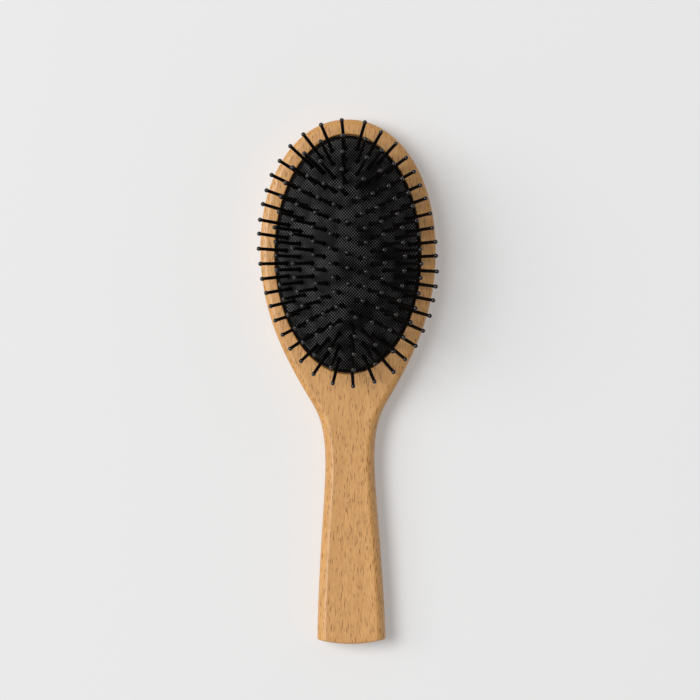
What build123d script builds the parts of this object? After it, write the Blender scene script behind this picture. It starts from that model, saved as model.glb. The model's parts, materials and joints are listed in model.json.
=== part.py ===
from build123d import *

import math
import os

# An oval cushion brush that lies on its back with its pins up: a one-piece beech head and handle,
# an air-filled rubber cushion with a woven facing in the head's recess, and ball-tipped nylon pins
# in rings. Millimetres. The origin is on the floor under the middle of the length, +Y points to the
# head's tip and +Z up, so the handle's end is at -Y.

# Body
LENGTH = 225.0
THICKNESS = 14.0
HEAD_HALF_WIDTH = 37.6
HEAD_WIDEST_Y = 56.6
HEAD_SQUARENESS = 2.08
HEAD_TAPER_LENGTH = 63.5
FLANK_AND_HANDLE = [
    (23.9, 5.0),
    (18.2, -5.2),
    (13.1, -15.0),
    (11.1, -24.0),
    (10.55, -33.0),
    (10.95, -45.0),
    (12.2, -63.0),
    (13.45, -82.0),
    (14.45, -103.0),
    (14.8, -118.0),
]
HANDLE_END_RADIUS = 55.0

# Edges of the body: a bevel round the top that is broad on the handle and fine on the head, and a
# large round at the back. Each is an arc from the upright side that stops short of level.
BEVEL_WIDTH_HANDLE = 3.4
BEVEL_DROP_HANDLE = 4.6
BEVEL_WIDTH_HEAD = 2.5
BEVEL_DROP_HEAD = 2.2
BEVEL_ANGLE = 62.0
BEVEL_BLEND_START_Y = -38.0
BEVEL_BLEND_END_Y = 6.0
BACK_WIDTH = 5.0
BACK_RISE = 5.2
BACK_ANGLE = 76.0
EDGE_STEPS = 4
OUTLINE_STEPS = 72

# Cushion: a dome whose level curves are ellipses round a straight ridge, drawn out a little at the
# two ends where they near the rim
CUSHION_Y = 54.7
CUSHION_HALF_WIDTH = 31.0
CUSHION_HEIGHT = 10.0
RIDGE_HALF_LENGTH = 21.3
LEVEL_CURVE_RATIO = 0.886
RIM_EXTRA_LENGTH = 2.13
MEMBRANE = 1.5
FACING = 0.35
FACING_HALF_WIDTH = 29.8
RIDGE_CAP_HALF_WIDTH = 1.6
DOME_RADIUS = (CUSHION_HALF_WIDTH**2 + CUSHION_HEIGHT**2) / (2 * CUSHION_HEIGHT)

# Recess in the head: an air chamber, a ledge that the cushion's foot sits on, and a groove for the
# bead that holds the foot down
CHAMBER_FLOOR_Z = 6.0
LEDGE_Z = 10.0
LEDGE_WIDTH = 2.6
RECESS_GAP = 0.4
BEAD = 0.7
BEAD_HEIGHT = 1.2
RECESS_EDGE = 0.5
CUT_MARGIN = 1.0

# Pins
RING_SPACING = 5.25
PINS_PER_SECTOR = [3, 4, 5, 6, 7]
RING_LEAN = [5.5, 11.5, 19.0, 24.4, 28.3]
LEAN_SKEW = 0.125
RING_TURN = 0.2
SECTORS = ["top", "upper_right", "lower_right", "bottom", "lower_left", "upper_left"]
CENTER_PINS = 5
CENTER_PITCH = 6.4
PIN_REACH = 23.0
SHANK_DIAMETER = 1.3
SHANK_CLEARANCE = 0.06
SHAFT_ROOT_DIAMETER = 1.6
SHAFT_TIP_DIAMETER = 1.4
BALL_DIAMETER = 1.9
COLLAR_DIAMETER = 2.2
COLLAR_HEIGHT = 0.9
COLLAR_GAP = 0.3
FLANGE_DIAMETER = 2.8
FLANGE_THICKNESS = 0.8
FLANGE_GAP = 0.35


def blend(start, end, share):
    """Goes smoothly from start to end as share goes from 0 to 1."""
    share = min(max(share, 0.0), 1.0)
    return start + (end - start) * share * share * (3 - 2 * share)


def side_points():
    """The right side of the body's outline, from the head's tip to past the handle's end."""
    tip_reach = LENGTH / 2 - HEAD_WIDEST_Y
    points = []
    for angle in (90, 78, 66, 54, 42, 30, 18, 6):
        c = math.cos(math.radians(angle)) ** (2 / HEAD_SQUARENESS)
        s = math.sin(math.radians(angle)) ** (2 / HEAD_SQUARENESS)
        points.append((HEAD_HALF_WIDTH * c, HEAD_WIDEST_Y + tip_reach * s))
    for angle in (8, 20, 32):
        c = math.cos(math.radians(angle))
        s = math.sin(math.radians(angle))
        points.append((HEAD_HALF_WIDTH * c, HEAD_WIDEST_Y - HEAD_TAPER_LENGTH * s))
    return points + FLANK_AND_HANDLE


def outline_curve():
    """The outline from the handle's right side round the head to its left side."""
    right = side_points()
    left = [(-x, y) for x, y in right[1:]]
    return Edge.make_spline([Vector(x, y, 0) for x, y in [*reversed(right), *left]])


def edge_profile(y, step):
    """The body's edge at this point along the brush, as how far in from the outline and how high.

    Steps from -1 down go round the back's edge, and steps from 1 up go up the top's bevel.
    """
    share = (y - BEVEL_BLEND_START_Y) / (BEVEL_BLEND_END_Y - BEVEL_BLEND_START_Y)
    width = blend(BEVEL_WIDTH_HANDLE, BEVEL_WIDTH_HEAD, share)
    drop = blend(BEVEL_DROP_HANDLE, BEVEL_DROP_HEAD, share)
    full = math.radians(BACK_ANGLE if step < 0 else BEVEL_ANGLE)
    turn = full * (abs(step) - 1) / EDGE_STEPS
    inwards = (1 - math.cos(turn)) / (1 - math.cos(full))
    onwards = math.sin(turn) / math.sin(full)
    if step < 0:
        return BACK_WIDTH * inwards, BACK_RISE * (1 - onwards)
    return width * inwards, THICKNESS - drop * (1 - onwards)


def body_section(curve, step):
    """One closed section of the body, at this step up its edge."""
    points = []
    for i in range(OUTLINE_STEPS + 1):
        at = curve.position_at(i / OUTLINE_STEPS)
        along = curve.tangent_at(i / OUTLINE_STEPS)
        inset, z = edge_profile(at.Y, step)
        outward = Vector(along.Y, -along.X, 0)
        points.append(Vector(at.X, at.Y, z) - outward * inset)
    side = Edge.make_spline(points)
    end = Edge.make_line(points[-1], points[0])
    return Wire([side, end])


def body_blank():
    """The head and handle with their edges rounded and the handle cut to its curved end."""
    curve = outline_curve()
    steps = [*range(-EDGE_STEPS - 1, 0), *range(1, EDGE_STEPS + 2)]
    blank = Solid.make_loft([body_section(curve, step) for step in steps], ruled=True)
    end_center_y = HANDLE_END_RADIUS - LENGTH / 2
    keep = Pos(0, end_center_y, THICKNESS / 2) * Cylinder(HANDLE_END_RADIUS, 2 * THICKNESS)
    rest = Pos(0, end_center_y + LENGTH / 2, THICKNESS / 2) * Box(LENGTH, LENGTH, 2 * THICKNESS)
    return blank & (keep + rest)


def level_half_length(half_width):
    """Half the length of the cushion's level curve that has this half-width."""
    extra = RIM_EXTRA_LENGTH * (half_width / CUSHION_HALF_WIDTH) ** 6
    return RIDGE_HALF_LENGTH + LEVEL_CURVE_RATIO * half_width + extra


def level_ellipse(half_width, z, bottom_z=None):
    """A face bounded by one of the cushion's level curves, or a block of it down to bottom_z."""
    half_length = level_half_length(half_width)
    face = Pos(0, CUSHION_Y, z) * Ellipse(half_width, half_length)
    return face if bottom_z is None else extrude(face, bottom_z - z)


def wood_body():
    wall = CUSHION_HALF_WIDTH + RECESS_GAP
    body = body_blank()
    body -= level_ellipse(wall, THICKNESS + CUT_MARGIN, LEDGE_Z)
    body -= level_ellipse(wall - LEDGE_WIDTH - RECESS_GAP, LEDGE_Z + CUT_MARGIN, CHAMBER_FLOOR_Z)
    top_face = body.faces().sort_by(Axis.Z)[-1]
    body = fillet(top_face.inner_wires()[0].edges(), RECESS_EDGE)
    return body - level_ellipse(wall + BEAD, LEDGE_Z + BEAD_HEIGHT + RECESS_GAP / 2, LEDGE_Z)


def dome_height(half_width, thickness=0.0):
    """Height above the rim of the surface this far under the cushion's outer surface."""
    radius = DOME_RADIUS - thickness
    return math.sqrt(radius**2 - half_width**2) - (DOME_RADIUS - CUSHION_HEIGHT)


def dome(thickness=0.0):
    """The solid under the surface that lies this far under the cushion's outer surface."""
    rim = math.sqrt((DOME_RADIUS - thickness) ** 2 - (DOME_RADIUS - CUSHION_HEIGHT) ** 2)
    steps = 9
    sections = []
    for k in range(steps):
        half_width = rim + (RIDGE_CAP_HALF_WIDTH - rim) * k / (steps - 1)
        z = THICKNESS + dome_height(half_width, thickness)
        sections.append(level_ellipse(half_width, z))
    return loft(sections)


def pin_holes(places):
    """The cylinders that cut the holes for the pins' shanks through both layers."""
    depth = 2 * (MEMBRANE + FACING + CUT_MARGIN)
    hole = Cylinder(SHANK_DIAMETER / 2 + SHANK_CLEARANCE, 2 * depth)
    return [place * hole for place in places]


def rubber_cushion(holes):
    foot = level_ellipse(CUSHION_HALF_WIDTH, THICKNESS, LEDGE_Z)
    bead = level_ellipse(CUSHION_HALF_WIDTH + BEAD, LEDGE_Z + BEAD_HEIGHT, LEDGE_Z)
    air = level_ellipse(CUSHION_HALF_WIDTH - LEDGE_WIDTH, THICKNESS, LEDGE_Z)
    return dome() + foot + bead - air - dome(MEMBRANE) - holes


def woven_facing(holes):
    covered = level_ellipse(FACING_HALF_WIDTH, THICKNESS + 2 * CUSHION_HEIGHT, THICKNESS)
    return (dome(-FACING) - dome()) & covered - holes


def pin():
    """One pin at the origin that points up +Z, with the facing's surface at z = 0."""
    shank = SHANK_DIAMETER / 2
    flange_top = -(FACING + MEMBRANE + FLANGE_GAP)
    flange_bottom = flange_top - FLANGE_THICKNESS
    collar_top = COLLAR_GAP + COLLAR_HEIGHT
    ball = BALL_DIAMETER / 2
    neck = SHAFT_TIP_DIAMETER / 2
    neck_z = PIN_REACH - math.sqrt(ball**2 - neck**2)
    stem = [
        (0, flange_bottom),
        (FLANGE_DIAMETER / 2, flange_bottom),
        (FLANGE_DIAMETER / 2, flange_top),
        (shank, flange_top),
        (shank, COLLAR_GAP),
        (COLLAR_DIAMETER / 2, COLLAR_GAP),
        (SHAFT_ROOT_DIAMETER / 2, collar_top),
        (neck, neck_z),
    ]
    tip = (0, PIN_REACH + ball)
    side = Polyline(*stem)
    cap = ThreePointArc((neck, neck_z), (ball, PIN_REACH), tip)
    axis = Line(tip, stem[0])
    return revolve(Plane.XZ * make_face(side + cap + axis), Axis.Z)


def pin_place(x, y, z, outward, lean):
    """The place of a pin rooted here that leans this many degrees towards outward."""
    tilt = math.radians(lean)
    direction = outward * math.sin(tilt) + Vector(0, 0, math.cos(tilt))
    across = Vector(-outward.Y, outward.X, 0)
    return Plane(origin=(x, y, z), x_dir=across, z_dir=direction).location


def center_places():
    top = THICKNESS + CUSHION_HEIGHT + FACING
    first = CUSHION_Y - CENTER_PITCH * (CENTER_PINS - 1) / 2
    ys = [first + CENTER_PITCH * k for k in range(CENTER_PINS)]
    return [pin_place(0, y, top, Vector(1, 0, 0), 0) for y in ys]


def ring_places(ring):
    """The places of ring 1 to 5's pins, clockwise from the top, evenly spaced along the ring.

    The pins lean out more at the ring's upper left and lower right than at its other two corners.
    """
    half_width = RING_SPACING * ring
    half_length = level_half_length(half_width)
    z = THICKNESS + dome_height(half_width, -FACING)
    path = Edge.make_ellipse(half_width, half_length)
    top_share = 0.25
    count = PINS_PER_SECTOR[ring - 1] * len(SECTORS)
    places = []
    for k in range(count):
        share = (top_share - (k - RING_TURN) / count) % 1.0
        at = path.position_at(share)
        along = path.tangent_at(share)
        outward = Vector(along.Y, -along.X, 0)
        corner = 2 * at.X * at.Y / (half_width * half_length)
        lean = RING_LEAN[ring - 1] * (1 - LEAN_SKEW * corner)
        places.append(pin_place(at.X, at.Y + CUSHION_Y, z, outward, lean))
    return places


def pin_groups():
    """Every pin node's name and the places of its pins."""
    groups = {"center_row_pins": center_places()}
    for ring, count in enumerate(PINS_PER_SECTOR, 1):
        places = ring_places(ring)
        # Each sector's middle is at the middle of its name: the top sector straddles the top.
        places = places[-(count // 2) :] + places[: -(count // 2)]
        for k, sector in enumerate(SECTORS):
            groups[f"ring_{ring}_pins_{sector}"] = places[k * count : (k + 1) * count]
    return groups


def main():
    os.makedirs("parts", exist_ok=True)
    groups = pin_groups()
    one_pin = pin()
    holes = pin_holes([place for places in groups.values() for place in places])
    nodes = {
        "wood_body": wood_body(),
        "rubber_cushion": rubber_cushion(holes),
        "woven_facing": woven_facing(holes),
    }
    for name, places in groups.items():
        nodes[name] = Compound(children=[place * one_pin for place in places])
    for name, shape in nodes.items():
        export_step(shape, f"parts/{name}.step")


main()
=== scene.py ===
import json
import math
import random

import bmesh
import bpy
import numpy as np
from mathutils import Matrix, Vector


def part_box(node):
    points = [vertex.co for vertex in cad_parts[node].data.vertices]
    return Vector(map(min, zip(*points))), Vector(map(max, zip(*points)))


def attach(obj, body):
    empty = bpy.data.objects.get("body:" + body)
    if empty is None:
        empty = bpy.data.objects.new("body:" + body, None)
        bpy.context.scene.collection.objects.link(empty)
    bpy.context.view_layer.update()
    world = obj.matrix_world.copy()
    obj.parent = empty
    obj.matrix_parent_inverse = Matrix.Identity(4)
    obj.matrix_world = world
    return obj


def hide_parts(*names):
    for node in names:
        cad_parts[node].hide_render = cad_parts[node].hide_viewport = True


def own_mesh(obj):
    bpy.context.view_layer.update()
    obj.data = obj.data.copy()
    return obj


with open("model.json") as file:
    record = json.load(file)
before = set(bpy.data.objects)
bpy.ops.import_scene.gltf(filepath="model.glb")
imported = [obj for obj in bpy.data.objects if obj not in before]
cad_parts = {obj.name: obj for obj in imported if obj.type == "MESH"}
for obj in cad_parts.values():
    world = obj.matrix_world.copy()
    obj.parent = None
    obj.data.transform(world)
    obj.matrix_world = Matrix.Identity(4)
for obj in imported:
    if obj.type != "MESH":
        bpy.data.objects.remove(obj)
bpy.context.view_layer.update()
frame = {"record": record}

# Everything is in metres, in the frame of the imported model: the brush lies on its back, +Y towards
# the head's tip and +Z up, the way the pins point.
MM = 0.001
wood_low, wood_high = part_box("wood_body")
cushion_low, cushion_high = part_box("rubber_cushion")
RIM_Z = wood_high.z
HALF_LENGTH = (wood_high.y - wood_low.y) / 2

# The body's outline: a slightly squared ellipse round the head's top, a longer ellipse below its
# widest place, and then points down the flank, the neck and the handle, in millimetres
HEAD_HALF_WIDTH = wood_high.x
HEAD_WIDEST_Y = 56.6 * MM
HEAD_SQUARENESS = 2.08
HEAD_TOP_ANGLES = (90, 78, 66, 54, 42, 30, 18, 6)
HEAD_TAPER_LENGTH = 63.5 * MM
HEAD_TAPER_ANGLES = (8, 20, 32)
FLANK_AND_HANDLE = [
    (23.9, 5.0),
    (18.2, -5.2),
    (13.1, -15.0),
    (11.1, -24.0),
    (10.55, -33.0),
    (10.95, -45.0),
    (12.2, -63.0),
    (13.45, -82.0),
    (14.45, -103.0),
    (14.8, -118.0),
]
HANDLE_END_RADIUS = 55.0 * MM
HANDLE_CORNER_RADIUS = 0.9 * MM
HANDLE_END_EDGE = 0.55 * MM
HANDLE_END_BLEND = 4 * HANDLE_CORNER_RADIUS

# The body's edges, as arcs from its upright side: the top's bevel and the back's round
BEVEL_WIDTH_HANDLE = 3.4 * MM
BEVEL_DROP_HANDLE = 4.6 * MM
BEVEL_WIDTH_HEAD = 2.5 * MM
BEVEL_DROP_HEAD = 2.2 * MM
BEVEL_ANGLE = 62.0
BEVEL_BLEND_START_Y = -38.0 * MM
BEVEL_BLEND_END_Y = 6.0 * MM
BACK_WIDTH = 5.0 * MM
BACK_RISE = 5.2 * MM
BACK_ANGLE = 76.0
EDGE_STEPS = 9
SIDE_POINTS = 420
END_POINTS = 36
CORNER_POINTS = 5
FLAT_MARGIN = 0.35 * MM
END_MARGIN = 1.0 * MM

# The recess in the head
CUSHION_Y = (cushion_low.y + cushion_high.y) / 2
CUSHION_HALF_WIDTH = 31.0 * MM
RECESS_HALF_WIDTH = 31.4 * MM
CHAMBER_HALF_WIDTH = 28.4 * MM
CHAMBER_FLOOR_Z = 6.0 * MM
LEDGE_Z = cushion_low.z
RECESS_EDGE = 0.5 * MM
RECESS_EDGE_STEPS = 5
CREASE = 0.2 * MM
OVAL_POINTS = 288
OVAL_TURNS = [2 * math.pi * (k + 0.5) / OVAL_POINTS for k in range(OVAL_POINTS)]

# The cushion's dome: level curves that are ellipses round a straight ridge. The shoulder rounds
# its edge at the rim, and a dimple goes in round every pin.
DOME_HEIGHT = 10.0 * MM
DOME_RADIUS = (CUSHION_HALF_WIDTH**2 + DOME_HEIGHT**2) / (2 * DOME_HEIGHT)
RIDGE_HALF_LENGTH = 21.3 * MM
LEVEL_CURVE_RATIO = 0.886
RIM_EXTRA_LENGTH = 2.13 * MM
DOME_STEPS = 64
MEMBRANE = 1.5 * MM
MEMBRANE_STEPS = 24
FOOT_EDGE = 0.3 * MM
SHOULDER = 0.9 * MM
SHOULDER_ANGLE = 54.0
SHOULDER_STEPS = 6
SHOULDER_FULLNESS = 0.9
DIMPLE_DEPTH = 0.28 * MM
DIMPLE_RADIUS = 1.5 * MM

# The woven facing, its rolled edge just under the rubber's surface and its underside just over it
FACING = 0.35 * MM
FACING_HALF_WIDTH = 29.8 * MM
FACING_STEPS = 84
FACING_EDGE_STEPS = 3
FACING_TOP_INSET = 1.5 * FACING
FACING_EDGE_SINK = 0.02 * MM
FACING_UNDERSIDE_LIFT = 0.04 * MM
THREAD_X = 0.63 * MM
THREAD_Y = 0.69 * MM

# Pins: five rings round a middle row, each in six sectors. They lean outwards by these degrees,
# a little less at the upper right and lower left than at the other two corners. The turn of the
# rings is a share of the pitch of their pins.
RING_SPACING = 5.25 * MM
PINS_PER_SECTOR = [3, 4, 5, 6, 7]
RING_LEAN = [5.5, 11.5, 19.0, 24.4, 28.3]
LEAN_SKEW = 0.125
RING_TURN = 0.2
SECTORS = ["top", "upper_right", "lower_right", "bottom", "lower_left", "upper_left"]
CENTER_PINS = 5
CENTER_PITCH = 6.4 * MM
PIN_SEGMENTS = 20
PIN_LEAN_SPREAD = 0.9
PIN_BOW = 0.25 * MM

# A pin, as radii and heights over the facing's surface in millimetres: the flange under the
# membrane, the shank through it, the collar, the tapered shaft and the ball
FLANGE = [(0.0, -3.0), (1.25, -3.0), (1.4, -2.85), (1.4, -2.35), (1.25, -2.2)]
SHANK = [(0.65, -2.2), (0.65, -0.3)]
COLLAR = [(1.06, -0.22), (1.1, 0.05), (1.02, 0.3), (0.86, 0.62), (0.79, 1.1)]
SHAFT = [(0.78, 2.0), (0.76, 7.0), (0.74, 12.0), (0.72, 17.0), (0.70, 20.5), (0.695, 21.8)]
NECK = [(0.71, 22.2)]
BALL_RADIUS = 0.97
BALL_HEIGHT = 23.0
BALL_START_ANGLE = 130.0
BALL_STEPS = 10

# The height of a ball's middle, where a pin's bow is full, and the height from which pins shine
PIN_REACH = BALL_HEIGHT * MM
POLISH_START = 22.3 * MM

# Colours
BEECH = (0.705, 0.374, 0.115, 1)
BEECH_PALE = (0.764, 0.405, 0.145, 1)
BEECH_STREAK = (0.61, 0.303, 0.095, 1)
BEECH_FIBRE = (0.512, 0.241, 0.067, 1)
BEECH_FAINT_FLECK = (0.40, 0.160, 0.026, 1)
BEECH_DARK_FLECK = (0.26, 0.092, 0.009, 1)
RUBBER = (0.002, 0.002, 0.0022, 1)
RUBBER_PALE = (0.004, 0.004, 0.0044, 1)
THREAD_CROWN = (0.02, 0.02, 0.0205, 1)
THREAD_CROWN_WORN = (0.125, 0.125, 0.127, 1)
# Near black at the threads' edges and in the gaps: painted shade
THREAD_LOW_PAINTED_SHADE = (0.0001, 0.0001, 0.0001, 1)
THREAD_HIGH = (0.0004, 0.0004, 0.0004, 1)
THREAD_GLOSS_LOW = (0.005, 0.005, 0.005, 1)
THREAD_GLOSS_CROWN = (0.7, 0.7, 0.72, 1)
NYLON = (0.0025, 0.0019, 0.0017, 1)
NYLON_PALE = (0.006, 0.0044, 0.004, 1)
NYLON_GLOSS_SHAFT = (0.12, 0.12, 0.12, 1)
FLOOR = (0.64, 0.64, 0.64, 1)
FLOOR_PALE = (0.642, 0.642, 0.642, 1)
WHITE = (1, 1, 1, 1)

# The floor, the even light from all round, and the lamps: name, how far round from the left and
# how far up in degrees, distance and size in metres, and power in watts
FLOOR_HALF_SIZE = 4.0
WORLD_STRENGTH = 0.29
LIGHTS = [
    ("key", 14, 60, 6.0, 3.2, 241.0),
    ("side_panel", 10, 34, 6.4, 3.0, 76.0),
]

# Camera, held over the middle of the picture, which is a little above the brush's middle
CAMERA_DISTANCE = 2.0
PICTURE_WIDTH = 301.0 * MM
PICTURE_CENTER = (0.45 * MM, 13.6 * MM)
CAMERA_TURN = -0.5
SENSOR_WIDTH = 36.0


# Shapes


def blend(start, end, share):
    """Goes smoothly from start to end as share goes from 0 to 1."""
    share = min(max(share, 0.0), 1.0)
    return start + (end - start) * share * share * (3 - 2 * share)


def smooth_curve(points, count):
    """Evenly spaced places and directions along a natural cubic spline through the points."""
    points = np.array(points, float)
    gaps = np.linalg.norm(np.diff(points, axis=0), axis=1)
    knots = np.concatenate([[0], np.cumsum(gaps)])
    size = len(points)
    matrix = np.eye(size)
    right = np.zeros((size, 2))
    for i in range(1, size - 1):
        matrix[i, i - 1 : i + 2] = gaps[i - 1], 2 * (gaps[i - 1] + gaps[i]), gaps[i]
        slopes = np.diff(points[i - 1 : i + 2], axis=0) / gaps[i - 1 : i + 1, None]
        right[i] = 6 * (slopes[1] - slopes[0])
    bends = np.linalg.solve(matrix, right)

    def at(t):
        i = np.clip(np.searchsorted(knots, t, "right") - 1, 0, size - 2)
        gap = gaps[i][:, None]
        a = (knots[i + 1] - t)[:, None] / gap
        b = 1 - a
        curved = ((a**3 - a) * bends[i] + (b**3 - b) * bends[i + 1]) * gap**2 / 6
        place = a * points[i] + b * points[i + 1] + curved
        turning = (3 * b**2 - 1) * bends[i + 1] - (3 * a**2 - 1) * bends[i]
        return place, (points[i + 1] - points[i]) / gap + turning * gap / 6

    fine = np.linspace(0, knots[-1], 8 * count)
    places = at(fine)[0]
    run = np.linalg.norm(np.diff(places, axis=0), axis=1)
    run = np.concatenate([[0], np.cumsum(run)])
    places, directions = at(np.interp(np.linspace(0, run[-1], count), run, fine))
    return places, directions / np.linalg.norm(directions, axis=1)[:, None]


def outline():
    """Places and outward directions round the body, from the handle's right side to its left."""
    tip_reach = HALF_LENGTH - HEAD_WIDEST_Y
    right = []
    for angle in HEAD_TOP_ANGLES:
        c = math.cos(math.radians(angle)) ** (2 / HEAD_SQUARENESS)
        s = math.sin(math.radians(angle)) ** (2 / HEAD_SQUARENESS)
        right.append((HEAD_HALF_WIDTH * c, HEAD_WIDEST_Y + tip_reach * s))
    for angle in HEAD_TAPER_ANGLES:
        c = math.cos(math.radians(angle))
        s = math.sin(math.radians(angle))
        right.append((HEAD_HALF_WIDTH * c, HEAD_WIDEST_Y - HEAD_TAPER_LENGTH * s))
    right += [(x * MM, y * MM) for x, y in FLANK_AND_HANDLE]
    left = [(-x, y) for x, y in right[1:]]
    places, along = smooth_curve([*reversed(right), *left], SIDE_POINTS)
    return places, np.stack([along[:, 1], -along[:, 0]], axis=1)


def edge_profile(y, step):
    """The body's edge at this point along the brush, as how far in from the outline and how high.

    Steps from -1 down go round the back's edge, and steps from 1 up go up the top's bevel.
    """
    share = (y - BEVEL_BLEND_START_Y) / (BEVEL_BLEND_END_Y - BEVEL_BLEND_START_Y)
    width = blend(BEVEL_WIDTH_HANDLE, BEVEL_WIDTH_HEAD, share)
    drop = blend(BEVEL_DROP_HANDLE, BEVEL_DROP_HEAD, share)
    full = math.radians(BACK_ANGLE if step < 0 else BEVEL_ANGLE)
    turn = full * (abs(step) - 1) / EDGE_STEPS
    inwards = (1 - math.cos(turn)) / (1 - math.cos(full))
    onwards = math.sin(turn) / math.sin(full)
    if step < 0:
        return BACK_WIDTH * inwards, BACK_RISE * (1 - onwards)
    return width * inwards, RIM_Z - drop * (1 - onwards)


def handle_end(half_width, end_inset):
    """Places round the handle's end, from its left corner to its right."""
    center_y = HANDLE_END_RADIUS - HALF_LENGTH + end_inset
    corner_x = half_width - HANDLE_CORNER_RADIUS
    reach = HANDLE_END_RADIUS - HANDLE_CORNER_RADIUS
    corner_y = center_y - math.sqrt(reach**2 - corner_x**2)
    lean = math.asin(corner_x / reach)
    right = []
    for k in range(CORNER_POINTS + 1):
        turn = (math.pi / 2 - lean) * k / CORNER_POINTS
        x = corner_x + HANDLE_CORNER_RADIUS * math.cos(turn)
        right.append((x, corner_y - HANDLE_CORNER_RADIUS * math.sin(turn)))
    arc = []
    for k in range(1, END_POINTS):
        turn = lean * (1 - 2 * k / END_POINTS)
        x = HANDLE_END_RADIUS * math.sin(turn)
        arc.append((x, center_y - HANDLE_END_RADIUS * math.cos(turn)))
    left = [(-x, y) for x, y in reversed(right)]
    return [(-x, y) for x, y in [*right, *arc, *left]]


def body_ring(places, outward, step, margin=0.0):
    """One closed ring of points round the body, at this step up its edge."""
    full_end_y = HANDLE_END_RADIUS - HALF_LENGTH
    ring = []
    for place, out in zip(places, outward):
        inset, z = edge_profile(place[1], step)
        at = place - out * (inset + margin)
        ring.append((at[0], at[1], z))
    rounding = HANDLE_END_EDGE * ((abs(step) - 1) / EDGE_STEPS) ** 4 + margin
    half_width = abs(ring[0][0])
    corner_y = full_end_y - math.sqrt(HANDLE_END_RADIUS**2 - half_width**2) + HANDLE_CORNER_RADIUS
    shift = corner_y + rounding - ring[0][1]
    reach = ring[0][1] + HANDLE_END_BLEND + shift
    count = sum(1 for x, y, z in ring[: len(ring) // 2] if y < reach)
    for i in range(count):
        for j in (i, len(ring) - 1 - i):
            x, y, z = ring[j]
            ring[j] = (x, y + shift * (1 - i / count), z)
    level = ring[0][2]
    end = [(x, y, level) for x, y in handle_end(half_width, rounding)]
    return ring + end[1:-1]


def level_half_length(half_width):
    """Half the length of the cushion's level curve of this half-width."""
    extra = RIM_EXTRA_LENGTH * (half_width / CUSHION_HALF_WIDTH) ** 6
    return RIDGE_HALF_LENGTH + LEVEL_CURVE_RATIO * half_width + extra


def oval_ring(half_width, z):
    """A closed ring of points round one of the cushion's level curves."""
    half_length = level_half_length(half_width)
    return [
        (half_width * math.cos(t), CUSHION_Y + half_length * math.sin(t), z) for t in OVAL_TURNS
    ]


def add_rings(bm, rings):
    """Joins closed rings of equally many points into a band of quads, and returns its loops."""
    loops = [[bm.verts.new(p) for p in ring] for ring in rings]
    for low, high in zip(loops, loops[1:]):
        for i in range(len(low)):
            j = (i + 1) % len(low)
            bm.faces.new((low[i], low[j], high[j], high[i]))
    return loops


def loop_edges(bm, loop):
    """The edges round a closed loop of vertices."""
    return [bm.edges.get((a, b)) for a, b in zip(loop, loop[1:] + loop[:1])]


def finish_mesh(bm, name, material):
    """Turns the bmesh into a smooth-shaded object with outward normals."""
    bmesh.ops.recalc_face_normals(bm, faces=bm.faces[:])
    for face in bm.faces:
        face.smooth = True
    mesh = bpy.data.meshes.new(name)
    bm.to_mesh(mesh)
    bm.free()
    obj = bpy.data.objects.new(name, mesh)
    bpy.context.scene.collection.objects.link(obj)
    mesh.materials.append(material)
    return obj


def make_body(material):
    """The one-piece head and handle, with its bevels, its curved end and the cushion's recess."""
    places, outward = outline()
    keep = places[:, 1] > -HALF_LENGTH + END_MARGIN
    places, outward = places[keep], outward[keep]
    steps = [*range(-EDGE_STEPS - 1, 0), *range(1, EDGE_STEPS + 2)]
    rings = [body_ring(places, outward, step) for step in steps]
    rings.insert(0, body_ring(places, outward, steps[0], FLAT_MARGIN))
    rings.append(body_ring(places, outward, steps[-1], FLAT_MARGIN))
    bm = bmesh.new()
    loops = add_rings(bm, rings)
    bm.faces.new(loops[0])

    recess = [oval_ring(RECESS_HALF_WIDTH + RECESS_EDGE + FLAT_MARGIN, RIM_Z)]
    for k in range(RECESS_EDGE_STEPS + 1):
        turn = math.radians(90 * k / RECESS_EDGE_STEPS)
        grow = RECESS_EDGE * (1 - math.sin(turn))
        drop = RECESS_EDGE * (1 - math.cos(turn))
        recess.append(oval_ring(RECESS_HALF_WIDTH + grow, RIM_Z - drop))
    # The ledge's two edges and the chamber's, each with a ring just before it and one just after
    for half_width, z, out_before, up_before, out_after, up_after in (
        (RECESS_HALF_WIDTH, LEDGE_Z, 0, CREASE, -CREASE, 0),
        (CHAMBER_HALF_WIDTH, LEDGE_Z, CREASE, 0, 0, -CREASE),
        (CHAMBER_HALF_WIDTH, CHAMBER_FLOOR_Z, 0, CREASE, -CREASE, 0),
    ):
        recess.append(oval_ring(half_width + out_before, z + up_before))
        recess.append(oval_ring(half_width, z))
        recess.append(oval_ring(half_width + out_after, z + up_after))
    inner = add_rings(bm, recess)
    bm.faces.new(inner[-1])
    border = loop_edges(bm, loops[-1]) + loop_edges(bm, inner[0])
    bmesh.ops.triangle_fill(bm, use_beauty=True, use_dissolve=False, edges=border)
    return finish_mesh(bm, "beech_body", material)


def dome_point(half_width, turn, lift=0.0):
    """A point on the cushion's dome, lifted off it along its normal."""
    z = RIM_Z + math.sqrt(DOME_RADIUS**2 - half_width**2) - (DOME_RADIUS - DOME_HEIGHT)
    x = half_width * math.cos(turn)
    y = CUSHION_Y + level_half_length(half_width) * math.sin(turn)
    sink = half_width / DOME_RADIUS
    out = Vector((math.cos(turn), math.sin(turn) * LEVEL_CURVE_RATIO, 0))
    normal = (out * sink + Vector((0, 0, math.sqrt(1 - sink**2)))).normalized()
    return Vector((x, y, z)) + normal * lift


def dimple(points, roots):
    """Draws the surface in a little round every pin's root."""
    points = np.array(points, float)
    roots = np.array(roots, float)
    gaps = np.linalg.norm(points[:, None, :2] - roots[None, :, :2], axis=2)
    pull = np.exp(-((gaps / DIMPLE_RADIUS) ** 2)).sum(axis=1)
    points[:, 2] -= DIMPLE_DEPTH * np.minimum(pull, 1.0)
    return points


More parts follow.
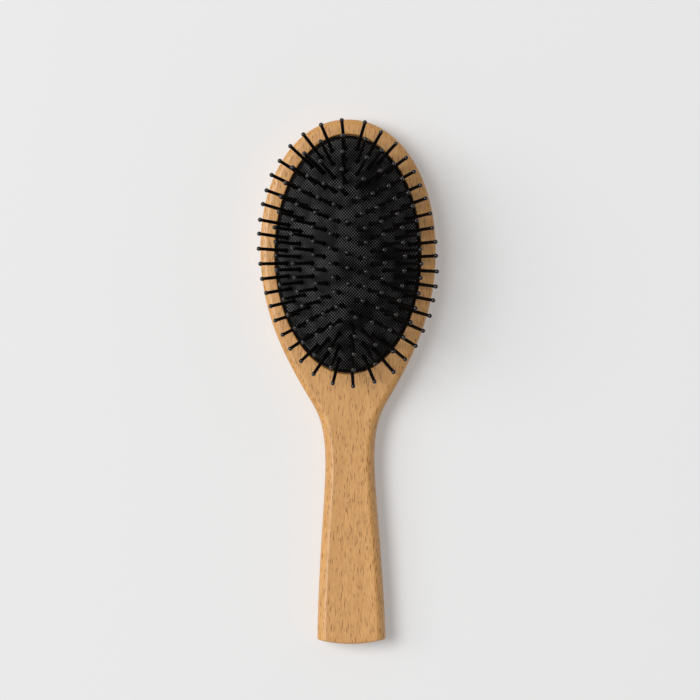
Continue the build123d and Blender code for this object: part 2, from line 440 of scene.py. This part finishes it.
def dome_ring(half_width, lift):
    """A closed ring of points round the dome, lifted off it along its normals."""
    return [dome_point(half_width, t, lift) for t in OVAL_TURNS]


def dome_rings(widest, steps, lift):
    """Rings of the dome from this half-width up to its ridge."""
    return [dome_ring(widest * (1 - k / steps), lift) for k in range(steps + 1)]


def dimpled(rings, roots):
    """The rings with a dimple round every pin's root."""
    moved = dimple([p for ring in rings for p in ring], roots)
    return [moved[k : k + OVAL_POINTS].tolist() for k in range(0, len(moved), OVAL_POINTS)]


def close_ridge(bm):
    """Joins the two sides of the last ring, which lies flat along the dome's ridge."""
    bmesh.ops.remove_doubles(bm, verts=bm.verts[:], dist=0.01 * MM)


def make_cushion(material, roots):
    """The rubber cushion: foot, rounded shoulder and dome outside, and the air's side within."""
    outside = [oval_ring(CUSHION_HALF_WIDTH, LEDGE_Z + FOOT_EDGE)]
    outside.append(oval_ring(CUSHION_HALF_WIDTH, RIM_Z - SHOULDER))
    full = math.radians(SHOULDER_ANGLE)
    for k in range(1, SHOULDER_STEPS + 1):
        turn = full * k / SHOULDER_STEPS
        drop = SHOULDER * (1 - math.sin(turn) / math.sin(full))
        inset = SHOULDER * (1 - math.cos(turn)) * SHOULDER_FULLNESS
        outside.append(oval_ring(CUSHION_HALF_WIDTH - inset, RIM_Z - drop))
    dome = dimpled(dome_rings(CUSHION_HALF_WIDTH - SHOULDER, DOME_STEPS, 0.0), roots)
    inside = [oval_ring(CUSHION_HALF_WIDTH - FOOT_EDGE, LEDGE_Z)]
    inside.append(oval_ring(CHAMBER_HALF_WIDTH + FOOT_EDGE, LEDGE_Z))
    inside.append(oval_ring(CHAMBER_HALF_WIDTH, LEDGE_Z + FOOT_EDGE))
    inside += dome_rings(CHAMBER_HALF_WIDTH - CREASE, MEMBRANE_STEPS, -MEMBRANE)
    bm = bmesh.new()
    foot = add_rings(bm, outside + dome)[0]
    sole = add_rings(bm, inside)[0]
    for i in range(OVAL_POINTS):
        j = (i + 1) % OVAL_POINTS
        bm.faces.new((foot[j], foot[i], sole[i], sole[j]))
    close_ridge(bm)
    return finish_mesh(bm, "air_cushion", material)


def make_facing(material, roots):
    """The woven layer on the dome, with its edge rolled down onto the rubber."""
    edge = []
    for k in range(FACING_EDGE_STEPS + 1):
        turn = math.radians(90 * k / FACING_EDGE_STEPS)
        grow = FACING * (math.cos(turn) - 1)
        lift = FACING * math.sin(turn) - FACING_EDGE_SINK
        edge.append(dome_ring(FACING_HALF_WIDTH + grow, lift))
    top = dome_rings(FACING_HALF_WIDTH - FACING_TOP_INSET, FACING_STEPS, FACING)
    under = dome_rings(FACING_HALF_WIDTH - FACING, FACING_STEPS, FACING_UNDERSIDE_LIFT)
    bm = bmesh.new()
    for rings in (edge + top, edge[:1] + under):
        add_rings(bm, dimpled(rings, roots))
    close_ridge(bm)
    return finish_mesh(bm, "woven_face", material)


# Pins


def pin_profile():
    """A pin's radii and heights, with the facing's surface at height 0."""
    profile = FLANGE + SHANK + COLLAR + SHAFT + NECK
    for k in range(1, BALL_STEPS + 1):
        turn = math.radians(BALL_START_ANGLE * (1 - k / BALL_STEPS))
        profile.append((BALL_RADIUS * math.sin(turn), BALL_HEIGHT + BALL_RADIUS * math.cos(turn)))
    return [(r * MM, z * MM) for r, z in profile]


def add_pin(bm, polish, place, direction, across, bow):
    """One pin rooted at place, bowed a little sideways, with a polished ball at its tip."""
    side = direction.cross(across).normalized()
    turn = Matrix((across, side, direction)).transposed()
    profile = pin_profile()
    rings = []
    for radius, height in profile:
        lean = bow * max(height / PIN_REACH, 0.0) ** 2
        center = place + turn @ Vector((lean, 0, height))
        ring = []
        for k in range(PIN_SEGMENTS):
            angle = 2 * math.pi * k / PIN_SEGMENTS
            arm = Vector((radius * math.cos(angle), radius * math.sin(angle), 0))
            ring.append(center + turn @ arm)
        rings.append(ring)
    loops = add_rings(bm, rings[1:-1])
    for loop, tip in ((loops[0], rings[0]), (loops[-1], rings[-1])):
        pole = bm.verts.new(sum(tip, Vector()) / PIN_SEGMENTS)
        for i in range(PIN_SEGMENTS):
            bm.faces.new((loop[i], loop[(i + 1) % PIN_SEGMENTS], pole))
        loop.append(pole)
    for loop, (radius, height) in zip(loops, profile[1:]):
        for vert in loop:
            vert[polish] = 1.0 if height > POLISH_START else 0.0


def ring_places(ring):
    """One ring's roots with their outward directions and leans, clockwise from the top."""
    half_width = RING_SPACING * ring
    half_length = level_half_length(half_width)
    count = PINS_PER_SECTOR[ring - 1] * len(SECTORS)
    turns = np.linspace(0, 2 * math.pi, 4001)
    path = np.stack([half_width * np.sin(turns), half_length * np.cos(turns)], axis=1)
    run = np.concatenate([[0], np.cumsum(np.linalg.norm(np.diff(path, axis=0), axis=1))])
    places = []
    for k in range(count):
        share = ((k - RING_TURN) / count) % 1.0
        turn = float(np.interp(share * run[-1], run, turns))
        outward = Vector((math.sin(turn) / half_width, math.cos(turn) / half_length, 0))
        root = dome_point(half_width, math.pi / 2 - turn, FACING)
        lean = RING_LEAN[ring - 1] * (1 - LEAN_SKEW * math.sin(2 * turn))
        places.append((root, outward.normalized(), lean))
    return places


def pin_groups():
    """Every pin node's name, and the root, outward direction and lean of its pins."""
    top = RIM_Z + DOME_HEIGHT + FACING
    first = CUSHION_Y - CENTER_PITCH * (CENTER_PINS - 1) / 2
    across = Vector((1, 0, 0))
    row = [(Vector((0, first + CENTER_PITCH * k, top)), across, 0) for k in range(CENTER_PINS)]
    groups = {"center_row_pins": row}
    for ring, count in enumerate(PINS_PER_SECTOR, 1):
        places = ring_places(ring)
        places = places[-(count // 2) :] + places[: -(count // 2)]
        for k, sector in enumerate(SECTORS):
            groups[f"ring_{ring}_pins_{sector}"] = places[k * count : (k + 1) * count]
    return groups


def make_pins(groups, material):
    """One piece for each pin node, its pins leaning and bowed a little unevenly."""
    chance = random.Random(7)
    pieces = {}
    for node, pins in groups.items():
        bm = bmesh.new()
        polish = bm.verts.layers.float.new("polish")
        for root, outward, lean in pins:
            tilt = math.radians(lean + chance.uniform(-1, 1) * PIN_LEAN_SPREAD)
            swing = math.radians(chance.uniform(-1, 1) * PIN_LEAN_SPREAD)
            direction = outward * math.sin(tilt) + Vector((0, 0, math.cos(tilt)))
            sideways = Vector((-outward.y, outward.x, 0))
            direction = (direction + sideways * math.sin(swing)).normalized()
            across = (outward - direction * outward.dot(direction)).normalized()
            add_pin(bm, polish, root, direction, across, chance.uniform(-1, 1) * PIN_BOW)
        pieces[node] = finish_mesh(bm, node.replace("_pins", "") + "_bristles", material)
    return pieces


# Materials


class Shader:
    """A material's node tree, with short calls that add and join its nodes."""

    def __init__(self, name, **constants):
        self.material = bpy.data.materials.new(name)
        self.material.use_nodes = True
        self.nodes = self.material.node_tree.nodes
        self.links = self.material.node_tree.links
        self.surface = self.nodes["Principled BSDF"]
        for key, value in constants.items():
            self.surface.inputs[key.replace("_", " ")].default_value = value
        self.place = self.nodes.new("ShaderNodeTexCoord").outputs["Object"]

    def put(self, socket, value):
        """Joins an output to the socket, or sets a constant on it."""
        if isinstance(value, bpy.types.NodeSocket):
            self.links.new(value, socket)
        else:
            socket.default_value = value

    def math(self, operation, a, b=0.0, c=0.0):
        node = self.nodes.new("ShaderNodeMath")
        node.operation = operation
        for socket, value in zip(node.inputs, (a, b, c)):
            self.put(socket, value)
        return node.outputs[0]

    def split(self, vector):
        node = self.nodes.new("ShaderNodeSeparateXYZ")
        self.put(node.inputs[0], vector)
        return node.outputs

    def join(self, x, y, z=0.0):
        node = self.nodes.new("ShaderNodeCombineXYZ")
        for socket, value in zip(node.inputs, (x, y, z)):
            self.put(socket, value)
        return node.outputs[0]

    def noise(self, vector, scale=1.0, detail=2.0):
        node = self.nodes.new("ShaderNodeTexNoise")
        self.put(node.inputs["Vector"], vector)
        self.put(node.inputs["Scale"], scale)
        self.put(node.inputs["Detail"], detail)
        return node.outputs["Fac"]

    def cells(self, vector):
        """Distance to the nearest cell's middle, and a number of the cell's own."""
        node = self.nodes.new("ShaderNodeTexVoronoi")
        self.put(node.inputs["Vector"], vector)
        node.inputs["Scale"].default_value = 1.0
        return node.outputs["Distance"], self.split(node.outputs["Color"])[0]

    def ramp(self, value, low, high, to_low=0.0, to_high=1.0):
        """Goes smoothly from to_low to to_high as the value goes from low to high."""
        node = self.nodes.new("ShaderNodeMapRange")
        node.interpolation_type = "SMOOTHSTEP"
        for socket, setting in zip(node.inputs, (value, low, high, to_low, to_high)):
            self.put(socket, setting)
        return node.outputs[0]

    def mix(self, share, a, b):
        node = self.nodes.new("ShaderNodeMix")
        node.data_type = "RGBA"
        self.put(node.inputs["Factor"], share)
        self.put(node.inputs[6], a)
        self.put(node.inputs[7], b)
        return node.outputs[2]

    def shade(self, color, height=None, depth=0.0, strength=1.0, roughness=None):
        """Puts the color, the bumps and the roughness on the surface, and gives the material."""
        self.put(self.surface.inputs["Base Color"], color)
        if roughness is not None:
            self.put(self.surface.inputs["Roughness"], roughness)
        if height is not None:
            bump = self.nodes.new("ShaderNodeBump")
            bump.inputs["Distance"].default_value = depth
            bump.inputs["Strength"].default_value = strength
            self.put(bump.inputs["Height"], height)
            self.put(self.surface.inputs["Normal"], bump.outputs[0])
        return self.material


def beech_material():
    """Satin beech: warm tan wood with fine fibres, faint streaks and short dark ray flecks."""
    s = Shader("beech_satin", Specular_IOR_Level=0.62)
    x, y, z = s.split(s.place)
    sway = s.math("MULTIPLY", s.math("SUBTRACT", s.noise(s.place, scale=45.0), 0.5), 2.2 * MM)
    kink = s.math("MULTIPLY", s.math("SUBTRACT", s.noise(s.place, scale=420.0), 0.5), 0.55 * MM)
    gx = s.math("ADD", x, s.math("ADD", sway, kink))
    gz = s.math("ADD", z, sway)

    def along_grain(width, length, seed=0.0):
        """Coordinates whose unit cell is this wide, this deep and this long along the grain."""
        return s.join(
            s.math("MULTIPLY_ADD", gx, 1 / width, seed),
            s.math("MULTIPLY_ADD", y, 1 / length, seed),
            s.math("MULTIPLY_ADD", gz, 1 / width, seed),
        )

    def flecks(width, length, size, seed):
        """Short spots along the grain, each of its own size."""
        distance, own = s.cells(along_grain(width, length, seed))
        reach = s.math("MULTIPLY_ADD", own, 0.55 * size, 0.6 * size)
        return s.ramp(s.math("DIVIDE", distance, reach), 0.6, 1.15, to_low=1.0, to_high=0.0)

    cloud = s.noise(s.join(x, s.math("MULTIPLY", y, 0.45), z), scale=60.0)
    streak = s.noise(along_grain(width=4.5 * MM, length=120 * MM))
    fibre = s.noise(along_grain(width=0.5 * MM, length=7.0 * MM))
    dark = flecks(width=0.62 * MM, length=4.7 * MM, size=0.31, seed=3.7)
    faint = flecks(width=0.5 * MM, length=3.6 * MM, size=0.36, seed=11.3)
    color = s.mix(cloud, BEECH, BEECH_PALE)
    color = s.mix(s.ramp(streak, 0.35, 0.7, to_high=0.5), color, BEECH_STREAK)
    color = s.mix(s.ramp(fibre, 0.35, 0.7, to_high=0.65), color, BEECH_FIBRE)
    color = s.mix(s.math("MULTIPLY", faint, 0.5), color, BEECH_FAINT_FLECK)
    color = s.mix(s.math("MULTIPLY", dark, 0.95), color, BEECH_DARK_FLECK)
    pits = s.math("MULTIPLY_ADD", fibre, 0.35, s.math("MULTIPLY", dark, -1.0))
    roughness = s.ramp(fibre, 0.2, 0.8, to_low=0.38, to_high=0.48)
    return s.shade(color, pits, depth=0.05 * MM, strength=0.5, roughness=roughness)


def rubber_material():
    """Smooth black moulded rubber with a fine, slightly uneven skin."""
    s = Shader("black_rubber", Specular_IOR_Level=0.06)
    grain = s.noise(s.place, scale=2400.0, detail=3.0)
    wide = s.noise(s.place, scale=90.0)
    color = s.mix(wide, RUBBER, RUBBER_PALE)
    roughness = s.ramp(wide, 0.3, 0.7, to_low=0.46, to_high=0.58)
    return s.shade(color, grain, depth=0.03 * MM, strength=0.35, roughness=roughness)


def weave_material():
    """A plain weave of fine black threads, with the paler crowns in diagonal rows and painted shade,
    near black, at the threads' edges and in the gaps between them.
    """
    s = Shader("woven_facing", Specular_IOR_Level=0.5)
    x, y = s.split(s.place)[:2]
    wander = s.math("MULTIPLY", s.math("SUBTRACT", s.noise(s.place, scale=60.0), 0.5), 0.5)
    p = s.math("MULTIPLY_ADD", x, 1 / THREAD_X, wander)
    q = s.math("MULTIPLY_ADD", y, 1 / THREAD_Y, wander)

    def swell(value):
        """0 at a thread's edges and 1 along its middle."""
        return s.math("ABSOLUTE", s.math("SINE", s.math("MULTIPLY", value, math.pi)))

    over_p, over_q = swell(p), swell(q)

    def crown_of(across, along):
        """A thread's height where it lies on top, rounded across it and falling off along it."""
        fall = s.math("MULTIPLY_ADD", along, 0.5, 0.5)
        return s.math("MULTIPLY", s.math("POWER", across, 0.6), fall)

    crown_p = crown_of(over_p, over_q)
    crown_q = crown_of(over_q, over_p)
    cell = s.math("ADD", s.math("FLOOR", p), s.math("FLOOR", q))
    which = s.math("FLOORED_MODULO", cell, 2.0)
    height_p = s.math("MULTIPLY", crown_p, which)
    height_q = s.math("MULTIPLY", crown_q, s.math("SUBTRACT", 1.0, which))
    height = s.math("ADD", height_p, height_q)
    worn = s.noise(s.place, scale=110.0)
    # Painted shade: the colour falls from the paler crowns to near black at the threads' edges and
    # in the gaps, and the gloss is tinted nearly away there too
    crown = s.ramp(height_p, 0.3, 0.8)
    pale = s.mix(s.ramp(worn, 0.38, 0.64), THREAD_CROWN, THREAD_CROWN_WORN)
    low = s.mix(s.ramp(height_q, 0.2, 0.95), THREAD_LOW_PAINTED_SHADE, THREAD_HIGH)
    color = s.mix(crown, low, pale)
    gloss = s.mix(crown, THREAD_GLOSS_LOW, THREAD_GLOSS_CROWN)
    s.put(s.surface.inputs["Specular Tint"], gloss)
    roughness = s.ramp(height, 0.0, 1.0, to_low=0.8, to_high=0.42)
    return s.shade(color, height, depth=0.12 * MM, strength=0.7, roughness=roughness)


def pin_material():
    """Moulded black nylon: dull shafts with a faint drag pattern, and polished balls."""
    s = Shader("black_nylon", Specular_IOR_Level=0.6)
    drag = s.noise(s.place, scale=900.0)
    polish = s.nodes.new("ShaderNodeAttribute")
    polish.attribute_name = "polish"
    ball = polish.outputs["Fac"]
    color = s.mix(drag, NYLON, NYLON_PALE)
    s.put(s.surface.inputs["Specular Tint"], s.mix(ball, NYLON_GLOSS_SHAFT, WHITE))
    shaft_roughness = s.ramp(drag, 0.3, 0.7, to_low=0.5, to_high=0.62)
    roughness = s.ramp(ball, 0.0, 1.0, to_low=shaft_roughness, to_high=0.07)
    return s.shade(color, drag, depth=0.02 * MM, strength=0.12, roughness=roughness)


def floor_material():
    """A matt, pale floor that glows a little, like paper lit from below."""
    s = Shader("pale_floor", Specular_IOR_Level=0.05, Roughness=0.9, Emission_Strength=0.21)
    s.surface.inputs["Emission Color"].default_value = WHITE
    tone = s.noise(s.place, scale=3.0, detail=1.0)
    return s.shade(s.mix(tone, FLOOR, FLOOR_PALE))


# The scene around the brush


def make_floor():
    """The floor that the brush lies on."""
    bm = bmesh.new()
    bmesh.ops.create_grid(bm, x_segments=2, y_segments=2, size=FLOOR_HALF_SIZE)
    floor = finish_mesh(bm, "floor", floor_material())


def aim(obj, target):
    """Turns a light to shine at the target."""
    obj.rotation_euler = (Vector(target) - obj.location).to_track_quat("-Z", "Y").to_euler()


def add_light(name, place, target, size, power):
    """A round, soft light that the camera doesn't see."""
    data = bpy.data.lights.new(name, "AREA")
    data.shape = "DISK"
    data.size = size
    data.energy = power
    light = bpy.data.objects.new(name, data)
    light.visible_camera = False
    bpy.context.scene.collection.objects.link(light)
    light.location = place
    aim(light, target)


def make_lights():
    """Even light from all round, a broad soft key above on the left and a weaker panel below it."""
    world = bpy.data.worlds.new("studio")
    world.use_nodes = True
    background = world.node_tree.nodes["Background"]
    background.inputs["Color"].default_value = WHITE
    background.inputs["Strength"].default_value = WORLD_STRENGTH
    bpy.context.scene.world = world
    target = Vector((0, CUSHION_Y / 2, 0))
    for name, azimuth, elevation, distance, size, power in LIGHTS:
        turn, rise = math.radians(azimuth), math.radians(elevation)
        level = math.cos(rise)
        away = Vector((-math.cos(turn) * level, math.sin(turn) * level, math.sin(rise)))
        add_light(name, target + away * distance, target, size, power)


def make_camera():
    """A camera straight above the brush, looking down at it."""
    data = bpy.data.cameras.new("camera")
    data.sensor_width = SENSOR_WIDTH
    data.lens = SENSOR_WIDTH * CAMERA_DISTANCE / PICTURE_WIDTH
    camera = bpy.data.objects.new("camera", data)
    bpy.context.scene.collection.objects.link(camera)
    height = CAMERA_DISTANCE + wood_high.z / 2
    camera.location = (*PICTURE_CENTER, height)
    camera.rotation_euler = (0, 0, math.radians(CAMERA_TURN))
    bpy.context.scene.camera = camera


def frame_body(node):
    """The CAD body that a node belongs to."""
    bodies = frame["record"]["behaviour"]["bodies"]
    return next(name for name, nodes in bodies.items() if node in nodes)


def main():
    """Makes the brush's pieces, puts each under its body and hides the CAD part it takes the place
    of, then sets the scene.
    """
    groups = pin_groups()
    roots = [root for pins in groups.values() for root, outward, lean in pins]

    body = make_body(beech_material())
    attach(body, "brush_body")
    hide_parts("wood_body")

    cushion = make_cushion(rubber_material(), roots)
    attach(cushion, "brush_body")
    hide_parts("rubber_cushion")
    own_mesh(cushion)

    facing = make_facing(weave_material(), roots)
    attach(facing, "brush_body")
    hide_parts("woven_facing")
    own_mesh(facing)

    for node, piece in make_pins(groups, pin_material()).items():
        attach(piece, frame_body(node))
        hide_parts(node)

    make_floor()
    make_lights()
    make_camera()
    bpy.context.scene.view_settings.view_transform = "Standard"


main()
